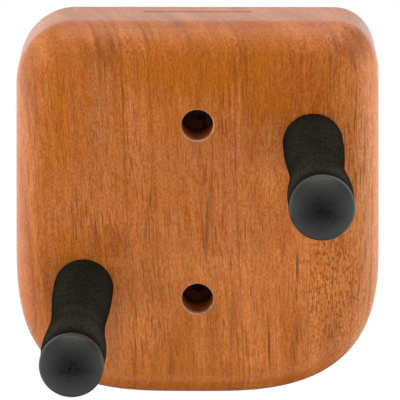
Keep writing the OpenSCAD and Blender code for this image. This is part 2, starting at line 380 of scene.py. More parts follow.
def makeFinishedWood(look):
    material, tree, shader, place = newMaterial("finishedWood", look["roughness"], look["specular"])
    area = noiseAt(tree, vectorCalc(tree, "MULTIPLY", place, look["poreAreas"]), 1.0, 1.0)[0]
    share = remap(tree, area, 0.35, 0.7, *look["poreCounts"])
    grain = placeGroup(tree, grainGroup, {"Position": place, "Pore Share": share})
    tones = (look["deep"], look["middle"], look["pale"])
    base = ramp(tree, grain["Band"], list(zip(look["bands"], tones)))
    golden = remap(tree, grain["Hue"], 0.54, 0.70, 0.0, look["hueShare"])
    base = mixColour(tree, golden, base, look["gold"])
    rosy = remap(tree, grain["Hue"], 0.46, 0.30, 0.0, look["hueShare"])
    base = mixColour(tree, rosy, base, look["pink"])
    ragged = calc(tree, "MULTIPLY", calc(tree, "SUBTRACT", grain["Streak"], 0.5), look["ragged"])
    for colour, across, height, wide, tall, strength in look["patches"]:
        reach = calc(tree, "ADD", patchReach(tree, place, across, height, wide, tall), ragged)
        base = mixColour(tree, remap(tree, reach, 0.3, 1.3, strength, 0.0), base, look[colour])
    streak = remap(tree, grain["Streak"], 0.25, 0.75, *look["streakTones"], smooth=False)
    base = mixColour(tree, 1.0, base, streak, "MULTIPLY")
    fibre = calc(tree, "MULTIPLY", grain["Fibre"], 0.5)
    fine = calc(tree, "ADD", fibre, calc(tree, "MULTIPLY", grain["Grit"], 0.5))
    lit = remap(tree, fine, *look["fibreTones"], smooth=False)
    tint = mixColour(tree, lit, look["shade"], look["shine"])
    base = mixColour(tree, 1.0, base, tint, "MULTIPLY")
    base = mixColour(tree, calc(tree, "MULTIPLY", grain["Vein"], look["veinShare"]), base, look["vein"])
    base = mixColour(tree, calc(tree, "MULTIPLY", grain["Pore"], look["poreShare"]), base, look["pore"])
    fleckReach = patchReach(tree, place, *look["fleckPatch"])
    inPatch = remap(tree, fleckReach, 0.5, 1.2, look["fleckShare"], 0.0)
    base = mixColour(tree, calc(tree, "MULTIPLY", grain["Fleck"], inPatch), base, look["fleck"])
    base = mixColour(tree, stainMask(tree, place, grain["Across"], look), base, look["stain"])
    feed(tree, shader["Base Color"], base)
    shiny, dullest = look["roughness"], look["roughness"] + look["poreDull"]
    dull = remap(tree, grain["Pore"], 0.0, 1.0, shiny, dullest, smooth=False)
    spread = look["streakDull"]
    uneven = remap(tree, grain["Streak"], 0.3, 0.7, -spread, spread, smooth=False)
    feed(tree, shader["Roughness"], calc(tree, "ADD", dull, uneven))
    height = calc(tree, "SUBTRACT", calc(tree, "MULTIPLY", grain["Fibre"], 0.35), grain["Pore"])
    feed(tree, shader["Normal"], bump(tree, height, look["relief"], look["reliefDepth"]))
    return material


# bored holes: bare wood darker than the face, with painted shade deeper in; paler fibres at the cut rims, just
# inside the hole partly a painted highlight

boreLook = {
    "plain": (0.270, 0.068, 0.014),
    "streaked": (0.390, 0.115, 0.026),
    "specular": 0.01,
    "lip": (0.50, 0.28, 0.16),        # paler fibres just inside the hole, partly a painted highlight on the lip
    "lipDepth": 2.5 * millimetre,
    "lipShare": 0.9,
    "deep": 0.30,                     # painted shade: how dark the hole gets, and over which depths
    "deepens": (5.0 * millimetre, 13.0 * millimetre),
}
rimLook = {"plain": (0.520, 0.300, 0.185), "streaked": (0.400, 0.205, 0.105), "specular": 0.20}
slotLook = {"plain": (0.330, 0.150, 0.070), "streaked": (0.260, 0.110, 0.050), "specular": 0.05}
cutWood = {
    "roughness": 0.78,
    "roughnessRange": (0.70, 0.86),
    "poreCount": 0.6,
    "drillMarks": 240.0,              # repeats per metre of the marks that the tool leaves
    "drillWander": 3.0,
    "relief": 0.35,
    "reliefDepth": 0.08 * millimetre,
}


def makeCutWood(name, look, cut):
    material, tree, shader, place = newMaterial(name, cut["roughness"], look["specular"])
    grain = placeGroup(tree, grainGroup, {"Position": place, "Pore Share": cut["poreCount"]})
    turning = addNode(tree, "ShaderNodeTexWave", wave_type="BANDS", bands_direction="Y")
    feed(tree, turning.inputs["Vector"], place)
    feed(tree, turning.inputs["Scale"], cut["drillMarks"])
    feed(tree, turning.inputs["Distortion"], cut["drillWander"])
    mixed = mixColour(tree, remap(tree, grain["Streak"], 0.35, 0.65), look["plain"], look["streaked"])
    dark = tuple(0.5 * channel for channel in look["plain"])
    mixed = mixColour(tree, grain["Pore"], mixed, dark)
    if "deep" in look:
        depth = calc(tree, "SUBTRACT", parts(tree, place)[1], blockLow.y)
        # paler lip: cut fibres, partly a painted highlight
        atLip = remap(tree, depth, 0.0, look["lipDepth"], look["lipShare"], 0.0)
        mixed = mixColour(tree, atLip, mixed, look["lip"])
        # painted shade, darker deeper in the hole
        holeShade = remap(tree, depth, *look["deepens"], 1.0, look["deep"])
        mixed = mixColour(tree, 1.0, mixed, holeShade, "MULTIPLY")
    feed(tree, shader["Base Color"], mixed)
    dull = remap(tree, grain["Fibre"], 0.3, 0.7, *cut["roughnessRange"], smooth=False)
    feed(tree, shader["Roughness"], dull)
    height = calc(tree, "ADD", turning.outputs["Fac"], grain["Fibre"])
    feed(tree, shader["Normal"], bump(tree, height, cut["relief"], cut["reliefDepth"]))
    return material


woodMaterials = [
    makeFinishedWood(woodLook),
    makeCutWood("boredWood", boreLook, cutWood),
    makeCutWood("rimWood", rimLook, cutWood),
    makeCutWood("slotWood", slotLook, cutWood),
]
print("wood materials ready")


# mesh helpers

def pegPlace(joint):
    along = Vector(joint["axis"]).normalized()
    across = Vector((1.0, 0.0, 0.0))
    turn = Matrix((across, along.cross(across), along)).transposed()
    return Matrix.Translation(joint["pos_m"]) @ turn.to_4x4()


def addPiece(name, points, faces, materials, indices=None, sharpAngle=32.0):
    mesh = bpy.data.meshes.new(name)
    mesh.from_pydata([tuple(p) for p in points], [], faces)
    for material in materials:
        mesh.materials.append(material)
    if indices:
        mesh.polygons.foreach_set("material_index", indices)
    mesh.validate()
    mesh.shade_smooth()
    mesh.set_sharp_from_angle(angle=math.radians(sharpAngle))
    piece = bpy.data.objects.new(name, mesh)
    scene.collection.objects.link(piece)
    return piece


def turned(profile, segments, place, closed=False, wobble=None):
    # a profile of (radius, distance along, material) turned about its axis; radius 0 is a pole
    points, rings = [], []
    for entry in profile:
        radius, along = entry[0], entry[1]
        if radius == 0:
            rings.append([len(points)] * segments)
            points.append(place @ Vector((0, 0, along)))
            continue
        rings.append(list(range(len(points), len(points) + segments)))
        for i in range(segments):
            angle = 2 * math.pi * i / segments
            r = radius + (wobble(angle, along, radius) if wobble else 0.0)
            points.append(place @ Vector((r * math.cos(angle), r * math.sin(angle), along)))
    faces, indices = [], []
    pairs = list(zip(rings, rings[1:] + rings[:1]))
    for k, (lower, upper) in enumerate(pairs if closed else pairs[:-1]):
        for i in range(segments):
            j = (i + 1) % segments
            corners = [lower[i], lower[j], upper[j], upper[i]]
            faces.append(list(dict.fromkeys(corners)))
            indices.append(profile[k][2] if len(profile[k]) > 2 else 0)
    return points, faces, indices


# the block

blockShape = {
    "halfWidth": 57.5 * millimetre,
    "taper": 4.6 * millimetre,        # wider at the bottom than at the top by this much
    "frontRound": 9.5 * millimetre,
    "backRound": 0.8 * millimetre,
    "bottomFlat": 4.0 * millimetre,
    "topRight": (14.4 * millimetre, 17.8 * millimetre, 2.25),      # reach across, reach down, fullness
    "topLeft": (18.4 * millimetre, 20.0 * millimetre, 2.05),
    "bottomLeft": (54.8 * millimetre, 3.25),                       # reach up, fullness
    "bottomRight": (51.0 * millimetre, 2.8),
    "cornerSteps": 40,
    "roundSteps": 18,
    "backSteps": 4,
    "sharpAngle": 30.0,
    "screwClearR": 2.25 * millimetre,
    "screwHeadR": 5.0 * millimetre,
    "screwHeadDepth": 13.0 * millimetre,
    "screwRim": 0.35 * millimetre,
    "screwRimCurve": [(0.10, -0.75), (0.88, -0.04), (1.10, 0.05)],  # out and up, in shares of the rim
    "screwSegments": 64,
    "overshoot": 3.0 * millimetre,    # how far a cutter stands out of the block
    "sawR": 30.0 * millimetre,
    "slotLength": 34.0 * millimetre,
    "slotWidth": 0.7 * millimetre,
    "slotFromWall": 7.0 * millimetre,
    "sawSegments": 160,
}

pegShape = {
    "seatR": 8.5 * millimetre,
    "seatDepth": 3.0 * millimetre,
    "boltHoleR": 4.2 * millimetre,
    "pocketR": 10.0 * millimetre,
    "pocketDepth": 13.2 * millimetre,
    "segments": 72,
    "overshoot": 4.0 * millimetre,
}


def blockOutline(shape, inset):
    half = shape["halfWidth"]
    middle = (blockHigh.z + blockLow.z) / 2
    tall = (blockHigh.z - blockLow.z) / 2
    bottomAcross = half - shape["bottomFlat"] / 2
    corners = [
        (1, 1, shape["topRight"]),
        (-1, 1, shape["topLeft"]),
        (-1, -1, (bottomAcross, *shape["bottomLeft"])),
        (1, -1, (bottomAcross, *shape["bottomRight"])),
    ]
    points = []
    for sideX, sideZ, (reachX, reachZ, full) in corners:
        for i in range(shape["cornerSteps"] + 1):
            turn = math.pi / 2 * i / shape["cornerSteps"]
            a = turn if sideX * sideZ > 0 else math.pi / 2 - turn
            onX = max(math.cos(a), 0.0) ** (2 / full)
            onZ = max(math.sin(a), 0.0) ** (2 / full)
            outX = onX ** (full - 1) / reachX
            outZ = onZ ** (full - 1) / reachZ
            size = math.hypot(outX, outZ)
            x = half - reachX + reachX * onX - inset * outX / size
            z = sideZ * (tall - reachZ + reachZ * onZ - inset * outZ / size)
            wider = 1 - shape["taper"] / (2 * half) * z / (2 * tall)
            points.append((sideX * x * wider, middle + z))
    return points


def blockBody(shape):
    thick = blockHigh.y - blockLow.y
    layers = []
    for i in range(shape["backSteps"] + 1):
        a = math.pi / 2 * i / shape["backSteps"]
        layers.append((shape["backRound"] * (1 - math.cos(a)), shape["backRound"] * (1 - math.sin(a))))
    for i in range(shape["roundSteps"] + 1):
        a = math.pi / 2 * i / shape["roundSteps"]
        out = thick - shape["frontRound"] + shape["frontRound"] * math.sin(a)
        layers.append((out, shape["frontRound"] * (1 - math.cos(a))))
    points, faces = [], []
    for out, inset in layers:
        points += [(x, blockHigh.y - out, z) for x, z in blockOutline(shape, inset)]
    count = len(points) // len(layers)
    for k in range(len(layers) - 1):
        for i in range(count):
            j = (i + 1) % count
            faces.append([k * count + i, k * count + j, (k + 1) * count + j, (k + 1) * count + i])
    faces.append(list(range(count - 1, -1, -1)))
    faces.append([(len(layers) - 1) * count + i for i in range(count)])
    return points, faces


def blockCutters(shape, peg):
    points, faces, indices = [], [], []

    def add(part):
        start = len(points)
        points.extend(part[0])
        faces.extend([[start + i for i in face] for face in part[1]])
        indices.extend(part[2])

    thick = blockHigh.y - blockLow.y
    head, rim = shape["screwHeadR"], shape["screwRim"]
    floor = thick - shape["screwHeadDepth"]
    screwProfile = [
        (0.0, -shape["overshoot"], 1),
        (shape["screwClearR"], -shape["overshoot"], 1),
        (shape["screwClearR"], floor, 1),
        (head, floor, 1),
        (head, thick - rim, 2),
    ]
    screwProfile += [(head + out * rim, thick + up * rim, 2) for out, up in shape["screwRimCurve"]]
    screwProfile.append((0.0, screwProfile[-1][1], 2))
    outward = Matrix.Rotation(math.pi / 2, 4, "X")
    for mount in record["mounts"]:
        if mount["kind"] == "bore":
            hole = Matrix.Translation((0, 0, mount["pos_m"][2])) @ outward
            add(turned(screwProfile, shape["screwSegments"], hole))
    for joint in frame["joints"]:
        wall = -thick / abs(Vector(joint["axis"]).normalized().y)
        pocketFloor = wall + peg["pocketDepth"]
        outer, inner = peg["overshoot"], wall - peg["overshoot"]
        pegProfile = [
            (0.0, inner, 1),
            (peg["pocketR"], inner, 1),
            (peg["pocketR"], pocketFloor, 1),
            (peg["boltHoleR"], pocketFloor, 1),
            (peg["boltHoleR"], -peg["seatDepth"], 1),
            (peg["seatR"], -peg["seatDepth"], 1),
            (peg["seatR"], outer, 1),
            (0.0, outer, 1),
        ]
        add(turned(pegProfile, peg["segments"], pegPlace(joint)))
    deep = shape["sawR"] - math.sqrt(shape["sawR"] ** 2 - (shape["slotLength"] / 2) ** 2)
    saw = Matrix.Translation((0, -shape["slotFromWall"], blockHigh.z + shape["sawR"] - deep)) @ outward
    half = shape["slotWidth"] / 2
    sawProfile = [(0.0, -half, 3), (shape["sawR"], -half, 3), (shape["sawR"], half, 3), (0.0, half, 3)]
    add(turned(sawProfile, shape["sawSegments"], saw))
    return points, faces, indices


def settle(piece):
    # keeps what the modifiers make as the piece's own mesh
    made = piece.evaluated_get(bpy.context.evaluated_depsgraph_get())
    mesh = bpy.data.meshes.new_from_object(made)
    piece.modifiers.clear()
    old = piece.data
    piece.data = mesh
    bpy.data.meshes.remove(old)


def buildBlock(shape, peg):
    points, faces = blockBody(shape)
    block = addPiece("woodBlock", points, faces, woodMaterials)
    points, faces, indices = blockCutters(shape, peg)
    cutter = addPiece("blockCutter", points, faces, woodMaterials, indices)
    cut = block.modifiers.new("holes", "BOOLEAN")
    cut.operation = "DIFFERENCE"
    cut.solver = "EXACT"
    cut.material_mode = "INDEX"
    cut.object = cutter
    settle(block)
    bpy.data.objects.remove(cutter)
    block.data.shade_smooth()
    block.data.set_sharp_from_angle(angle=math.radians(shape["sharpAngle"]))
    even = block.modifiers.new("evenNormals", "WEIGHTED_NORMAL")
    even.keep_sharp = True
    settle(block)
    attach(block, "hanger")
    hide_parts("wood_block")
    print("block made with", len(block.data.polygons), "faces")


buildBlock(blockShape, pegShape)


# fine moulded speckle shared by the foam and the rubber

def makeSpeckleGroup():
    group, given, result = newGroup(
        "speckle",
        [("Position", "NodeSocketVector"), ("Cells", "NodeSocketFloat"), ("Cloud", "NodeSocketFloat")],
        ["Cell", "Grit", "Cloud"],
    )
    place = given.outputs["Position"]
    cells = addNode(group, "ShaderNodeTexVoronoi", feature="F1")
    feed(group, cells.inputs["Vector"], place)
    feed(group, cells.inputs["Scale"], given.outputs["Cells"])
    feed(group, result.inputs["Cell"], cells.outputs["Distance"])
    finer = calc(group, "MULTIPLY", given.outputs["Cells"], 1.1)
    feed(group, result.inputs["Grit"], noiseAt(group, place, finer, 3.0, 0.65)[0])
    feed(group, result.inputs["Cloud"], noiseAt(group, place, given.outputs["Cloud"], 3.0)[0])
    return group


speckleGroup = makeSpeckleGroup()


def speckled(tree, place, look):
    given = {"Position": place, "Cells": look["cells"], "Cloud": look["cloud"]}
    speckle = placeGroup(tree, speckleGroup, given)
    grit = calc(tree, "MULTIPLY", speckle["Grit"], look["gritShare"])
    cloud = calc(tree, "MULTIPLY", speckle["Cloud"], look["cloudShare"])
    return speckle, calc(tree, "ADD", grit, cloud)


# foam sleeves

foamShape = {
    "faceGap": 0.15 * millimetre,
    "length": 82.9 * millimetre,
    "baseR": 9.45 * millimetre,
    "waistR": 8.35 * millimetre,
    "bulbR": 9.65 * millimetre,
    "edgeR": 8.8 * millimetre,
    "boreR": 5.06 * millimetre,
    "waistAt": 42.0 * millimetre,
    "bulbAt": 72.0 * millimetre,
    "baseHold": 1.5,
    "waistHold": 1.3,
    "baseSoft": 0.8 * millimetre,
    "edgeSoft": 1.5 * millimetre,
    "rings": 260,
    "segments": 132,
    "endCrowding": 0.5,               # how much closer the rings lie at both ends
    "skinDepth": 0.035 * millimetre,
    "skinCell": 0.9 * millimetre,
    "skinFine": 0.7,                  # the skin's fine and broad unevenness, and how far it lies in
    "skinBroad": 0.9,
    "skinSunk": 0.8,
    "broadCells": 9,
    "plainInside": 0.9,               # share of the waist's radius that has no skin: the bore
    "seeds": {"right": (17.0, 3.0, 5.0), "left": (2.0, 29.0, 11.0)},
    "sharpAngle": 60.0,
}

foamLook = {
    "dark": (0.0085, 0.0074, 0.0056),
    "light": (0.0300, 0.0264, 0.0206),
    "cells": 1500.0,                  # repeats per metre of the speckle and of its clouds
    "cloud": 140.0,
    "gritShare": 0.88,
    "cloudShare": 0.12,
    "tones": (0.38, 0.64),
    "roughness": 0.95,
    "roughnessRange": (0.84, 0.97),
    "specular": 0.0,
    "cellRelief": 0.8,
    "relief": 0.6,
    "reliefDepth": 0.2 * millimetre,
    "litSwell": 1.44,                   # painted light: how much paler the swell is than the rest
    "litSwellFrom": 28.0 * millimetre,  # where that starts and is full, before the widest place
    "litSwellFull": 15.0 * millimetre,
    "grooveShade": 0.34,                   # painted shade: how much darker the last of it, in the groove beside the cap
    "grooveShadeFrom": 8.0 * millimetre,
    "grooveShadeFull": 2.0 * millimetre,
    "edgeShade": 0.35,                # open cells look darker where the skin turns away
    "edgeTurns": (0.78, 1.0),
}


def eased(first, second, share, hold):
    return (first + second) / 2 + (first - second) / 2 * math.cos(math.pi * share ** hold)


def foamRadius(shape, along):
    if along < shape["waistAt"]:
        share = along / shape["waistAt"]
        return eased(shape["baseR"], shape["waistR"], share, shape["baseHold"])
    if along < shape["bulbAt"]:
        share = (along - shape["waistAt"]) / (shape["bulbAt"] - shape["waistAt"])
        return eased(shape["waistR"], shape["bulbR"], share, shape["waistHold"])
    share = (along - shape["bulbAt"]) / (shape["length"] - shape["bulbAt"])
    return shape["edgeR"] + (shape["bulbR"] - shape["edgeR"]) * math.cos(math.pi / 2 * share)


def softened(shape, start, along):
    # drawn in at both ends, where the foam is cut
    radius = foamRadius(shape, along)
    ends = ((shape["baseSoft"], along - start), (shape["edgeSoft"], shape["length"] - along))
    for soft, inside in ends:
        if inside < soft:
            radius -= soft - math.sqrt(max(soft * soft - (soft - inside) ** 2, 0.0))
    return radius


def makeFoam(look):
    material, tree, shader, place = newMaterial("foam", look["roughness"], look["specular"])
    speckle, tone = speckled(tree, place, look)
    skin = mixColour(tree, remap(tree, tone, *look["tones"]), look["dark"], look["light"])
    outward = calc(tree, "SUBTRACT", blockLow.y, parts(tree, place)[1])
    end, swell = foamShape["length"], foamShape["bulbAt"]
    litSwell = (swell - look["litSwellFrom"], swell - look["litSwellFull"])
    grooveShade = (end - look["grooveShadeFrom"], end - look["grooveShadeFull"])
    # painted light on the swell and painted shade beside the cap, with open cells darker where the skin turns away
    paintedShading = remap(tree, outward, *litSwell, 1.0, look["litSwell"])
    # painted shade in the groove beside the cap
    paintedShading = calc(tree, "MULTIPLY", paintedShading, remap(tree, outward, *grooveShade, 1.0, look["grooveShade"]))
    turning = addNode(tree, "ShaderNodeLayerWeight").outputs["Facing"]
    edge = remap(tree, turning, *look["edgeTurns"], 1.0, look["edgeShade"], smooth=False)
    paintedShading = calc(tree, "MULTIPLY", paintedShading, edge)
    feed(tree, shader["Base Color"], mixColour(tree, 1.0, skin, paintedShading, "MULTIPLY"))
    dull = remap(tree, speckle["Grit"], 0.3, 0.7, *look["roughnessRange"], smooth=False)
    feed(tree, shader["Roughness"], dull)
    cells = calc(tree, "MULTIPLY", speckle["Cell"], look["cellRelief"])
    height = calc(tree, "ADD", speckle["Grit"], cells)
    feed(tree, shader["Normal"], bump(tree, height, look["relief"], look["reliefDepth"]))
    return material


foamMaterial = makeFoam(foamLook)


def buildFoam(side, joint, shape):
    seed = Vector(shape["seeds"][side])
    cell = shape["skinCell"]
    axis = Vector(joint["axis"]).normalized()
    start = (shape["baseR"] * axis.z + shape["faceGap"]) / abs(axis.y)

    def skin(angle, along, radius):
        if radius < shape["waistR"] * shape["plainInside"]:
            return 0.0
        spot = Vector((radius * math.cos(angle), radius * math.sin(angle), along))
        fine = noise.noise(spot / cell + seed)
        broad = noise.noise(spot / (shape["broadCells"] * cell) + seed)
        uneven = shape["skinFine"] * fine + shape["skinBroad"] * broad - shape["skinSunk"]
        return shape["skinDepth"] * uneven

    profile = [(shape["boreR"], start)]
    for i in range(shape["rings"] + 1):
        share = i / shape["rings"]
        share -= shape["endCrowding"] * math.sin(2 * math.pi * share) / (2 * math.pi)
        along = start + (shape["length"] - start) * share
        profile.append((softened(shape, start, along), along))
    profile.append((shape["boreR"], shape["length"]))
    points, faces, _ = turned(profile, shape["segments"], pegPlace(joint), closed=True, wobble=skin)
    foam = addPiece(side + "Foam", points, faces, [foamMaterial], sharpAngle=shape["sharpAngle"])
    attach(foam, side + "_pad")
    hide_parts(side + "_sleeve")


# rubber end caps

capShape = {
    "at": 83.2 * millimetre,
    "rimR": 9.45 * millimetre,
    "rimSoft": 0.3 * millimetre,
    "rimEase": 0.3,
    "wall": 2.8 * millimetre,
    "dome": 3.7 * millimetre,
    "shoulder": 1.8 * millimetre,
    "bossR": 4.6 * millimetre,
    "rodEnd": 80.9 * millimetre,
    "plugLength": 12.0 * millimetre,
    "plugR": 2.48 * millimetre,
    "plugNeck": 1.0 * millimetre,
    "barbs": 4,
    "barbDepth": 0.35 * millimetre,
    "barbLean": 0.8,                  # where along its step a barb is thickest
    "shoulderSteps": 14,
    "domeSteps": 30,
    "segments": 128,
    "sharpAngle": 35.0,
}

capLook = {
    "dark": (0.0018, 0.0024, 0.0021),
    "light": (0.0074, 0.0086, 0.0078),
    "cells": 1250.0,
    "cloud": 210.0,
    "gritShare": 0.85,
    "cloudShare": 0.15,
    "tones": (0.38, 0.62),
    "roughness": 0.32,
    "smoother": 0.05,                 # how far the roughness strays from that, down and up
    "duller": 0.06,
    "sideRough": 0.26,                # added on the wall, which isn't polished
    "sideTurns": (0.2, 0.7),
    "relief": 0.30,
    "reliefDepth": 0.06 * millimetre,
    "specular": 0.60,
    "sheen": (0.97, 1.0, 0.94, 1.0),
}


def makeCapRubber(look):
    material, tree, shader, place = newMaterial("capRubber", look["roughness"], look["specular"])
    feed(tree, shader["Specular Tint"], look["sheen"])
    speckle, tone = speckled(tree, place, look)
    paler = remap(tree, tone, *look["tones"])
    feed(tree, shader["Base Color"], mixColour(tree, paler, look["dark"], look["light"]))
    smooth, dull = look["roughness"] - look["smoother"], look["roughness"] + look["duller"]
    facing = addNode(tree, "ShaderNodeVectorMath", operation="DOT_PRODUCT")
    feed(tree, facing.inputs[0], addNode(tree, "ShaderNodeNewGeometry").outputs["Normal"])
    feed(tree, facing.inputs[1], Vector(frame["joints"][0]["axis"]).normalized())
    side = remap(tree, facing.outputs["Value"], *look["sideTurns"], look["sideRough"], 0.0)
    crown = remap(tree, tone, 0.35, 0.65, smooth, dull, smooth=False)
    feed(tree, shader["Roughness"], calc(tree, "ADD", crown, side))
    feed(tree, shader["Normal"], bump(tree, speckle["Grit"], look["relief"], look["reliefDepth"]))
    return material


capMaterial = makeCapRubber(capLook)


def buildCap(side, joint, shape):
    rim, soft, shoulder = shape["rimR"], shape["rimSoft"], shape["shoulder"]
    ballR = (rim * rim + shape["dome"] ** 2) / (2 * shape["dome"])
    ballAt = shape["at"] + shape["wall"] + shape["dome"] - ballR
    turnR = rim - shoulder
    turnAt = ballAt + math.sqrt((ballR - shoulder) ** 2 - turnR ** 2)
    domeAngle = math.asin(turnR / (ballR - shoulder))
    plugEnd = shape["rodEnd"] - shape["plugLength"]
    neckAt = shape["rodEnd"] - shape["plugNeck"]
    step = (shape["plugLength"] - shape["plugNeck"]) / shape["barbs"]
    stem = shape["plugR"] - shape["barbDepth"]
    corner = shape["rimEase"] * soft
    profile = [(0.0, plugEnd)]
    for i in range(shape["barbs"]):
        profile.append((stem, plugEnd + i * step))
        profile.append((shape["plugR"], plugEnd + (i + shape["barbLean"]) * step))
    profile += [
        (stem, neckAt),
        (stem, shape["rodEnd"]),
        (shape["bossR"], shape["rodEnd"]),
        (shape["bossR"], shape["at"]),
        (rim - soft, shape["at"]),
        (rim - corner, shape["at"] + corner),
        (rim, shape["at"] + soft),
    ]
    for i in range(shape["shoulderSteps"]):
        a = math.pi / 2 - (math.pi / 2 - domeAngle) * i / shape["shoulderSteps"]
        profile.append((turnR + shoulder * math.sin(a), turnAt + shoulder * math.cos(a)))
    for i in range(shape["domeSteps"]):
        a = domeAngle * (1 - i / shape["domeSteps"])
        profile.append((ballR * math.sin(a), ballAt + ballR * math.cos(a)))
    profile.append((0.0, ballAt + ballR))
    points, faces, _ = turned(profile, shape["segments"], pegPlace(joint))
    cap = addPiece(side + "Cap", points, faces, [capMaterial], sharpAngle=shape["sharpAngle"])
    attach(cap, "hanger")
    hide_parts(side + "_end_cap")


# steel: scuffs shared by the rods, nuts and washers

def makeScuffGroup():
    group, given, result = newGroup(
        "scuffs",
        [("Position", "NodeSocketVector"), ("Scale", "NodeSocketFloat")],
        ["Scratch", "Tarnish"],
    )
    place = given.outputs["Position"]
    stretched = vectorCalc(group, "MULTIPLY", place, (1.0, 0.12, 2.2))
    scratches = noiseAt(group, stretched, given.outputs["Scale"], 4.0, 0.7)[0]
    feed(group, result.inputs["Scratch"], remap(group, scratches, 0.35, 0.65))
    feed(group, result.inputs["Tarnish"], remap(group, noiseAt(group, place, 230.0, 3.0)[0], 0.35, 0.7))
    return group


scuffGroup = makeScuffGroup()

steelLook = {"bright": (0.56, 0.57, 0.58), "dull": (0.36, 0.35, 0.34), "roughness": 0.30}
zincLook = {"bright": (0.66, 0.67, 0.68), "dull": (0.50, 0.47, 0.38), "roughness": 0.34}
scuffed = {
    "specular": 0.5,
    "scratches": 900.0,               # repeats per metre
    "smoother": 0.06,
    "duller": 0.14,
    "relief": 0.15,
    "reliefDepth": 0.03 * millimetre,
}


def makeMetal(name, look, wear):
    material, tree, shader, place = newMaterial(name, look["roughness"], wear["specular"], metallic=1.0)
    scuffs = placeGroup(tree, scuffGroup, {"Position": place, "Scale": wear["scratches"]})
    feed(tree, shader["Base Color"], mixColour(tree, scuffs["Tarnish"], look["bright"], look["dull"]))
    low, high = look["roughness"] - wear["smoother"], look["roughness"] + wear["duller"]
    dull = remap(tree, scuffs["Scratch"], 0.0, 1.0, low, high, smooth=False)
    feed(tree, shader["Roughness"], dull)
    feed(tree, shader["Normal"], bump(tree, scuffs["Scratch"], wear["relief"], wear["reliefDepth"]))
    return material


rodMaterial = makeMetal("drawnSteel", steelLook, scuffed)
zincMaterial = makeMetal("zincPlate", zincLook, scuffed)


# rods, with the cut thread on their tails

rodShape = {
    "rodR": 5.0 * millimetre,
    "end": 80.9 * millimetre,
    "shoulder": -1.4 * millimetre,
    "chamfer": 0.6 * millimetre,
    "holeR": 2.5 * millimetre,
    "holeDepth": 13.0 * millimetre,
    "threadR": 3.97 * millimetre,
    "threadDepth": 0.62 * millimetre,
    "flankSteep": 1.3,
    "crestFlat": 0.12,
    "pitch": 1.25 * millimetre,
    "tail": -25.07 * millimetre,
    "tip": 1.0 * millimetre,
    "tipSunk": 0.25 * millimetre,     # how far its taper and its face lie inside the root
    "tipFaceSunk": 0.3 * millimetre,
    "relief": 1.2 * millimetre,
    "stepsPerPitch": 10,
    "segments": 60,
    "sharpAngle": 38.0,
}


def buildRod(side, joint, shape):
    top = shape["shoulder"] - shape["relief"]
    rootR = shape["threadR"] - shape["threadDepth"]

    def thread(angle, along, radius):
        if not shape["tail"] < along < top or radius < rootR * 0.99:
            return 0.0
        turns = along / shape["pitch"] - angle / (2 * math.pi)
        flank = abs(2 * (turns - math.floor(turns)) - 1)
        fade = min(1.0, (top - along) / shape["pitch"])
        cut = shape["flankSteep"] * flank - shape["crestFlat"]
        return -fade * min(1.0, max(0.0, cut)) * (radius - rootR)

    profile = [(0.0, shape["tail"]), (rootR - shape["tipFaceSunk"], shape["tail"])]
    count = int((top - shape["tail"]) / shape["pitch"] * shape["stepsPerPitch"])
    tipR = rootR - shape["tipSunk"]
    for i in range(1, count + 1):
        along = shape["tail"] + (top - shape["tail"]) * i / count
        lead = min(1.0, (along - shape["tail"]) / shape["tip"])
        profile.append((tipR + (shape["threadR"] - tipR) * lead, along))
    profile += [
        (rootR, top),
        (rootR, shape["shoulder"]),
        (shape["rodR"], shape["shoulder"]),
        (shape["rodR"], shape["end"] - shape["chamfer"]),
        (shape["rodR"] - shape["chamfer"], shape["end"]),
        (shape["holeR"], shape["end"]),
        (shape["holeR"], shape["end"] - shape["holeDepth"]),
        (0.0, shape["end"] - shape["holeDepth"] - shape["holeR"] / 2),
    ]
    points, faces, _ = turned(profile, shape["segments"], pegPlace(joint), wobble=thread)
    rod = addPiece(side + "Rod", points, faces, [rodMaterial], sharpAngle=shape["sharpAngle"])
    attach(rod, "hanger")
    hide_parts(side + "_peg_rod")


for joint in frame["joints"]:
    pegSide = joint["child"].split("_")[0]
    buildFoam(pegSide, joint, foamShape)
    buildCap(pegSide, joint, capShape)
    buildRod(pegSide, joint, rodShape)
    for piece in ("front_washer", "rear_washer", "lock_washer", "nut"):
        node = frame["nodes"][pegSide + "_" + piece]
        node.data.materials.clear()
        node.data.materials.append(zincMaterial)
    print(pegSide, "peg made")


# studio: pale floor with a painted shadow under the block, white walls that are brightest at the sides, one soft
# lamp above

